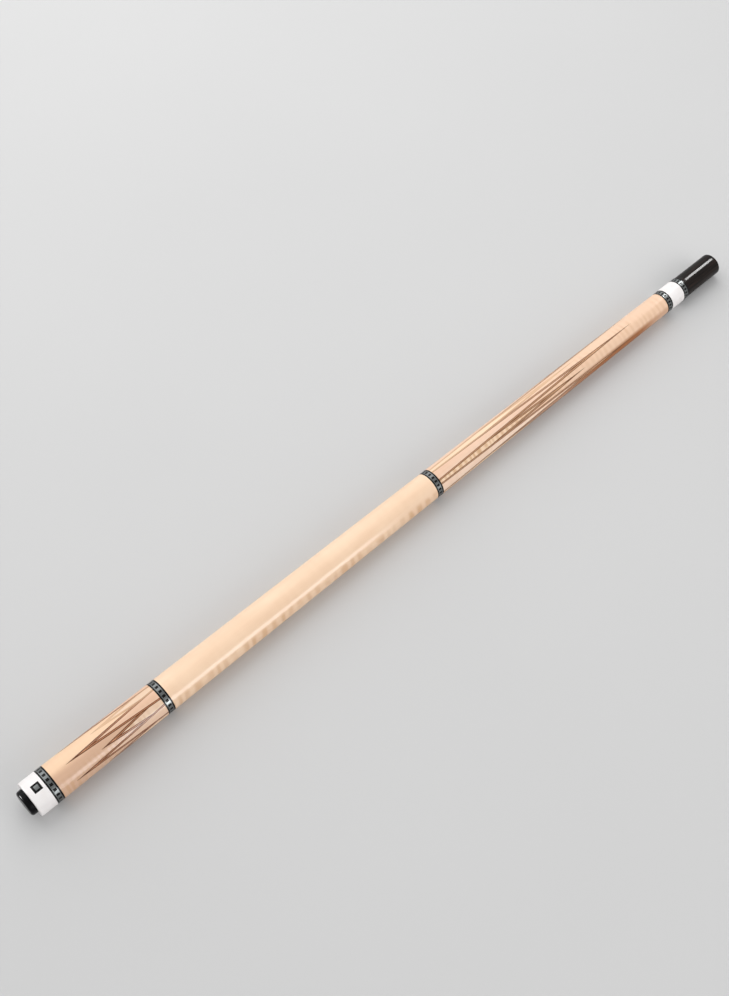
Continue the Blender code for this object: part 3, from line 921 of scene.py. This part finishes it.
@functools.cache
def ebony():
    """Lacquered dark wood with brown streaks and fine pores along the fibre."""
    shades = palette()
    wood = Finish(
        "ebony_lacquered", roughness=0.4, specular_ior_level=0.05, coat_weight=0.24, coat_roughness=0.08
    )
    pore = wood.noise(EBONY_PORE)
    dark = pore.between(*EBONY_PORE.limits) * PORE_SHARE
    body = wood.blend(wood.patches(EBONY_STREAK), shades.ebony, shades.ebony_streak)
    body = wood.blend(dark, body, toned(shades.ebony, PORE_TONE))
    return wood.done(base_color=body, normal=wood.bump(pore, *PORE_RELIEF))


@functools.cache
def floor_paint(surround):
    """Plain matt floor, with a trace of unevenness, that goes over into the surround: no horizon shows."""
    shade = palette().floor
    paint = Finish("floor_paint", specular_ior_level=0.0, roughness=0.7)
    x, y = paint.axes[:2]
    along = x - CUE_MIDDLE / MM
    away = (along * along + y * y) ** 0.5
    faded = away.between(*(reach / MM for reach in FLOOR_FADE))
    glow = paint.node("ShaderNodeEmission", None, {"Strength": surround})
    ground = Wire(paint, paint.shader.outputs[0])
    mixed = paint.node("ShaderNodeMixShader", None, {0: faded, 1: ground, 2: glow})
    paint.plug(paint.tree.nodes["Material Output"], {"Surface": mixed})
    body = paint.blend(paint.noise(FLOOR_CLOUD), shade, toned(shade, FLOOR_CLOUD_TONE))
    return paint.done(base_color=body)


class CUE_OT_bumper(bpy.types.Operator):
    """Rubber bumper on its brass stud, and the bush that the stud screws into"""

    bl_idname = "cue.bumper"
    bl_label = "Bumper"

    def execute(self, context):
        sizes = context.scene.cue_sizes
        rear, spigot_end = ends("rubber_bumper")
        seat = ends("butt_cap")[REAR] - sizes.glue_line
        spigot = rim("rubber_bumper", FRONT)[1]
        socket = outside("bumper_stud") + sizes.thread_clearance
        floor = ends("bumper_stud")[REAR] - sizes.glue_line
        wall = outside("rubber_bumper")
        profile = [
            (rear, 0.0),
            *rounded(rear, wall, sizes.bumper_edge, REAR),
            *rounded(seat, wall, sizes.mouth_edge, FRONT),
            (seat, spigot),
            (spigot_end, spigot),
            (spigot_end, socket),
            (floor, socket),
            (floor, 0.0),
        ]
        thread = (sizes.stud_pitch, sizes.stud_thread)
        dress("rubber_bumper", [(turned(profile, sizes.facets), rubber())])
        dress("bumper_stud", [(rod("bumper_stud", *thread), brass())])
        bush = nut("bumper_bush", "bumper_stud", *thread, sizes.thread_clearance)
        dress("bumper_bush", [(bush, brass())])
        return {"FINISHED"}


class CUE_OT_cap(bpy.types.Operator):
    """White butt cap with a plain square let into its side"""

    bl_idname = "cue.cap"
    bl_label = "Butt Cap"

    def execute(self, context):
        sizes = context.scene.cue_sizes
        rear, front = ends("butt_cap")
        wall = outside("butt_cap")
        spigot_hole = bore("butt_cap")
        socket = bore("butt_sleeve")
        floor = ends("handle")[REAR] - sizes.glue_line
        profile = [
            (front, socket),
            (floor, socket),
            (floor, spigot_hole),
            (rear, spigot_hole),
            *rounded(rear, wall, sizes.cap_edge, REAR),
            (front, wall),
            (front, socket),
        ]
        dress("butt_cap", [(turned(profile, sizes.facets), white_resin())])

        blank = corners("cap_inlay")
        middle = math.atan2(blank[:, 2].mean(), blank[:, 1].mean())
        inlay_rear, inlay_front = ends("cap_inlay")
        station = (inlay_rear + inlay_front) / 2
        half = (inlay_front - inlay_rear) / 2
        top = wall + sizes.inlay_proud
        inlay = self.square(station, half, bore("cap_inlay"), top, middle)
        dress("cap_inlay", [(inlay, black_resin())])
        floor = wall - sizes.inlay_centre_depth
        small = self.square(station, sizes.inlay_centre / 2, floor, top + sizes.inlay_proud, middle)
        piece = make_piece("cap_inlay_centre", [(small, nickel_silver())])
        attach(piece, BODY_OF["cap_inlay"])
        return {"FINISHED"}

    @staticmethod
    def square(station, half, bottom, top, middle):
        """Curved block as wide round the cap as it is long."""
        stations = station + half * np.array((-1.0, 1.0))
        return curved_box(stations, half / top, bottom, top, middle)


class CUE_OT_rings(bpy.types.Operator):
    """Five ring stacks: black edge, silver band with black dashes in its windows, black edge"""

    bl_idname = "cue.rings"
    bl_label = "Dash Rings"

    def execute(self, context):
        sizes = context.scene.cue_sizes
        for ring in RINGS:
            crown, band, washer = f"{ring}_crown", f"{ring}_dashes", f"{ring}_washer"
            rear, nose = ends(crown)
            shoulder = ends(band)[REAR] - sizes.glue_line
            core = bore(band) - sizes.glue_line
            hole = bore(crown)
            profile = [
                (rear, hole),
                (rear, taper(rear)),
                (shoulder, taper(shoulder)),
                (shoulder, core),
                (nose, core),
                (nose, hole),
                (rear, hole),
            ]
            black = [(turned(profile, sizes.facets), black_resin())]
            black += [(block, black_resin()) for block in dashes(band, sizes)]
            dress(crown, black)
            dress(band, [(windowed_band(band, sizes), nickel_silver())])
            front_edge = sizes.mouth_edge if ring == RINGS[-1] else 0.0
            dress(washer, [(tube(washer, sizes.facets, 0.0, front_edge), black_resin())])
        return {"FINISHED"}


class CUE_OT_woods(bpy.types.Operator):
    """Butt sleeve, handle and forearm, with the bores and tenons that join them"""

    bl_idname = "cue.woods"
    bl_label = "Woods"

    def execute(self, context):
        sizes = context.scene.cue_sizes
        glue = sizes.glue_line
        drop = 2.0 * sizes.under_drop
        rear, front = ends("butt_sleeve")
        hole = bore("butt_sleeve")
        sleeve = [
            (rear, hole),
            (rear, taper(rear) - drop),
            (front, taper(front) - drop),
            (front, hole),
            (rear, hole),
        ]
        dress("butt_sleeve", [(turned(sleeve, sizes.facets), sleeve_maple())])

        tenon_end, front = ends("handle")
        shoulder = ends("sleeve_ring_washer")[FRONT] + glue
        tenon = hole - glue
        bolt_hole = outside("weight_bolt") + glue
        bolt_floor = ends("weight_bolt")[FRONT] + sizes.drill_clearance
        stud_hole = outside("handle_stud") + glue
        stud_rear, stud_front = ends("handle_stud")
        handle = [
            (bolt_floor, 0.0),
            (bolt_floor, bolt_hole),
            (tenon_end, bolt_hole),
            (tenon_end, tenon),
            (shoulder, tenon),
            (shoulder, taper(shoulder)),
            (front, taper(front)),
            (front, stud_hole),
            (stud_rear - sizes.drill_clearance, stud_hole),
            (stud_rear - sizes.drill_clearance, 0.0),
        ]
        dress("handle", [(turned(handle, sizes.facets), handle_maple())])

        rear, tenon_end = ends("forearm")
        shoulder = ends("collar_ring_crown")[REAR] - glue
        tenon = bore("joint_collar") - glue
        pin_hole = outside("joint_pin") + glue
        pin_floor = ends("joint_pin")[REAR] - sizes.drill_clearance
        forearm = [
            (stud_front + sizes.drill_clearance, 0.0),
            (stud_front + sizes.drill_clearance, stud_hole),
            (rear, stud_hole),
            (rear, taper(rear) - drop),
            (shoulder, taper(shoulder) - drop),
            (shoulder, tenon),
            (tenon_end, tenon),
            (tenon_end, pin_hole),
            (pin_floor, pin_hole),
            (pin_floor, 0.0),
        ]
        dress("forearm", [(turned(forearm, sizes.facets), forearm_maple())])
        return {"FINISHED"}


class CUE_OT_points(bpy.types.Operator):
    """Spliced points of sleeve and forearm, each a core in three veneers; the long lie over the short"""

    bl_idname = "cue.points"
    bl_label = "Spliced Points"

    def execute(self, context):
        sizes = context.scene.cue_sizes
        sections = (("sleeve", FRONT, 0.0), ("forearm", REAR, sizes.forearm_point_depth))
        for section, base_end, gain in sections:
            base = ends(f"{section}_long_point_1")[base_end]
            floor = bore(f"{section}_long_point_1") - gain
            kinds = (
                ("long", 0.0, long_point_maple(section)),
                ("short", sizes.under_drop, short_point_maple(section)),
            )
            for kind, drop, core in kinds:
                finishes = (*veneers(section), core)
                for i in range(POINT_PAIRS):
                    node = f"{section}_{kind}_point_{i + 1}"
                    dress(node, self.splice(node, base, floor, drop, finishes, sizes))
        return {"FINISHED"}

    @staticmethod
    def splice(node, base, floor, drop, finishes, sizes):
        """Veneers and core of one point, from its base station and the radius of its inner corner there."""
        places = corners(node)
        tip_corner = places[np.abs(places[:, 0] - base).argmax()]
        tip = tip_corner[0]
        middle = math.atan2(tip_corner[2], tip_corner[1])
        slope = (taper(base) - floor) / abs(base - tip)
        thicknesses = (sizes.outer_veneer, sizes.middle_veneer, sizes.inner_veneer)
        starts = (0.0, *np.cumsum(thicknesses))
        stops = (*(start - sizes.veneer_gap for start in starts[1:]), taper(base))
        growth = np.linspace(0.0, 1.0, POINT_ROWS) ** TIP_CROWDING
        shells = []
        for start, stop, finish in zip(starts, stops, finishes):
            insets = ROOT_2 * np.array((start, stop)) / slope
            outer_tip, inner_tip = tip + np.copysign(insets, base - tip)
            run = outer_tip + (base - outer_tip) * growth
            if abs(inner_tip - tip) < abs(base - tip):
                run = np.union1d(run, (inner_tip,))
            shells.append((vee(run, tip, slope, (start, stop), taper(run) - drop, middle), finish))
        return shells


class CUE_OT_joint(bpy.types.Operator):
    """White joint collar, and the protector screwed over the joint pin"""

    bl_idname = "cue.joint"
    bl_label = "Joint and Protector"

    def execute(self, context):
        sizes = context.scene.cue_sizes
        dress("joint_collar", [(tube("joint_collar", sizes.facets), white_resin())])

        thread = (sizes.pin_pitch, sizes.pin_thread)
        dress("joint_pin", [(rod("joint_pin", *thread), steel())])
        insert = nut("protector_insert", "joint_pin", *thread, sizes.thread_clearance)
        dress("protector_insert", [(insert, brass())])

        mouth, end = ends("protector_shell")
        wall = outside("protector_shell")
        hole = outside("protector_insert") + sizes.thread_clearance
        deepest = max(ends("protector_insert")[FRONT], ends("joint_pin")[FRONT]) + sizes.drill_clearance
        profile = [
            (deepest, 0.0),
            (deepest, hole),
            (mouth, hole),
            *rounded(mouth, wall, sizes.mouth_edge, REAR),
            *rounded(end, wall, sizes.protector_edge, FRONT),
            (end, 0.0),
        ]
        dress("protector_shell", [(turned(profile, sizes.facets), ebony())])
        return {"FINISHED"}


class CUE_OT_hardware(bpy.types.Operator):
    """Weight bolt in the tenon, and the stud between handle and forearm"""

    bl_idname = "cue.hardware"
    bl_label = "Inner Hardware"

    def execute(self, context):
        sizes = context.scene.cue_sizes
        thread = (sizes.pin_pitch, sizes.pin_thread)
        socket = (sizes.bolt_key, sizes.bolt_key_depth)
        dress("weight_bolt", [(rod("weight_bolt", *thread, socket), steel())])
        dress("handle_stud", [(rod("handle_stud", *thread), steel())])
        return {"FINISHED"}


class Lamp(NamedTuple):
    """A soft box: its place, the station on the axis that it faces, its width and its height."""

    place: tuple
    station: float
    width: float
    height: float


KEY_SOFTBOX = Lamp((0.60, 1.12, 1.12), CUE_MIDDLE, 2.4, 2.2)
LOW_FILL = Lamp((1.15, -2.20, 1.15), CUE_MIDDLE, 2.4, 1.4)
LOW_STRIP = Lamp((0.43, -0.975, 0.09), 0.43, 0.62, 0.66)
GLINT_STRIP = Lamp((1.262, 0.11, 0.63), 1.262, 0.098, 0.25)
BUMPER_SPARK = Lamp((-0.70, 0.65, 0.34), 0.0, 0.40, 0.40)


class CUE_OT_stage(bpy.types.Operator):
    """Camera, plain floor under the cue's two rest points, and soft studio light"""

    bl_idname = "cue.stage"
    bl_label = "Stage"

    def execute(self, context):
        stage = context.scene.cue_stage
        self.camera(context.scene, stage)
        self.floor(stage)
        self.world(context.scene, stage)
        self.softbox("key_softbox", KEY_SOFTBOX, stage.key_power)
        fill = self.softbox("low_fill", LOW_FILL, stage.fill_power)
        strips = (
            self.softbox("low_strip", LOW_STRIP, stage.strip_power),
            self.softbox("glint_strip", GLINT_STRIP, stage.glint_power),
            self.softbox("bumper_spark", BUMPER_SPARK, stage.spark_power),
        )
        # The fill lights only matt shading, and the strips show only in the gloss
        fill.visible_glossy = False
        for strip in strips:
            strip.visible_diffuse = False
        context.scene.view_settings.view_transform = "Standard"
        return {"FINISHED"}

    @staticmethod
    def camera(scene, stage):
        """Camera at its place, turned to its azimuth and elevation."""
        lens = bpy.data.cameras.new("cue_camera")
        lens.lens = stage.lens
        camera = bpy.data.objects.new("cue_camera", lens)
        camera.location = stage.camera_place
        camera.rotation_euler = (math.pi / 2 - stage.camera_elevation, 0.0, stage.camera_azimuth)
        scene.collection.objects.link(camera)
        scene.camera = camera

    @staticmethod
    def floor(stage):
        """Square plane through the lowest points of the cap's front rim and of the joint's front rim."""
        rests = (rim("butt_cap", FRONT), rim("joint_ring_washer", FRONT))
        (rear, rear_radius), (front, front_radius) = rests
        slope = (rear_radius - front_radius) / (front - rear)
        side = stage.floor_size / 2
        x, y = np.meshgrid((rear - side, rear + side), (-side, side), indexing="ij")
        z = slope * (x - rear) - rear_radius
        mesh = bpy.data.meshes.new("studio_floor")
        mesh.from_pydata(np.stack((x, y, z), axis=-1).reshape(-1, 3).tolist(), [], [(0, 2, 3, 1)])
        mesh.materials.append(floor_paint(stage.world))
        floor = bpy.data.objects.new("studio_floor", mesh)
        bpy.context.scene.collection.objects.link(floor)

    @staticmethod
    def world(scene, stage):
        """Even white light from all round."""
        surround = bpy.data.worlds.new("studio_surround")
        surround.use_nodes = True
        background = surround.node_tree.nodes["Background"]
        background.inputs["Color"].default_value = (1.0, 1.0, 1.0, 1.0)
        background.inputs["Strength"].default_value = stage.world
        scene.world = surround

    @staticmethod
    def softbox(name, lamp, watts):
        """Rectangle of light that faces the axis and that the camera doesn't see."""
        light = bpy.data.lights.new(name, "AREA")
        light.shape = "RECTANGLE"
        light.size = lamp.width
        light.size_y = lamp.height
        light.energy = watts
        box = bpy.data.objects.new(name, light)
        box.location = lamp.place
        aim = Vector((lamp.station, 0.0, 0.0)) - Vector(lamp.place)
        box.rotation_euler = aim.to_track_quat("-Z", "Y").to_euler()
        box.visible_camera = False
        bpy.context.scene.collection.objects.link(box)
        return box


OPERATORS = (
    CUE_OT_stage,
    CUE_OT_bumper,
    CUE_OT_cap,
    CUE_OT_rings,
    CUE_OT_woods,
    CUE_OT_points,
    CUE_OT_joint,
    CUE_OT_hardware,
)


class CUE_PT_panel(bpy.types.Panel):
    """Lists the steps that dress the cue"""

    bl_idname = "CUE_PT_panel"
    bl_label = "Cue Butt"
    bl_space_type = "VIEW_3D"
    bl_region_type = "UI"
    bl_category = "Cue"

    def draw(self, context):
        for operator in OPERATORS:
            self.layout.operator(operator.bl_idname)
        for group in (context.scene.cue_sizes, context.scene.cue_colours, context.scene.cue_stage):
            box = self.layout.box()
            for name in group.__annotations__:
                box.prop(group, name)


CLASSES = (CueSizes, CueColours, CueStage, *OPERATORS, CUE_PT_panel)


def register():
    for each in CLASSES:
        bpy.utils.register_class(each)
    bpy.types.Scene.cue_sizes = PointerProperty(type=CueSizes)
    bpy.types.Scene.cue_colours = PointerProperty(type=CueColours)
    bpy.types.Scene.cue_stage = PointerProperty(type=CueStage)


def unregister():
    del bpy.types.Scene.cue_stage
    del bpy.types.Scene.cue_colours
    del bpy.types.Scene.cue_sizes
    for each in reversed(CLASSES):
        bpy.utils.unregister_class(each)


def main():
    register()
    for operator in OPERATORS:
        getattr(bpy.ops.cue, operator.bl_idname.split(".")[1])()


if __name__ == "__main__":
    main()
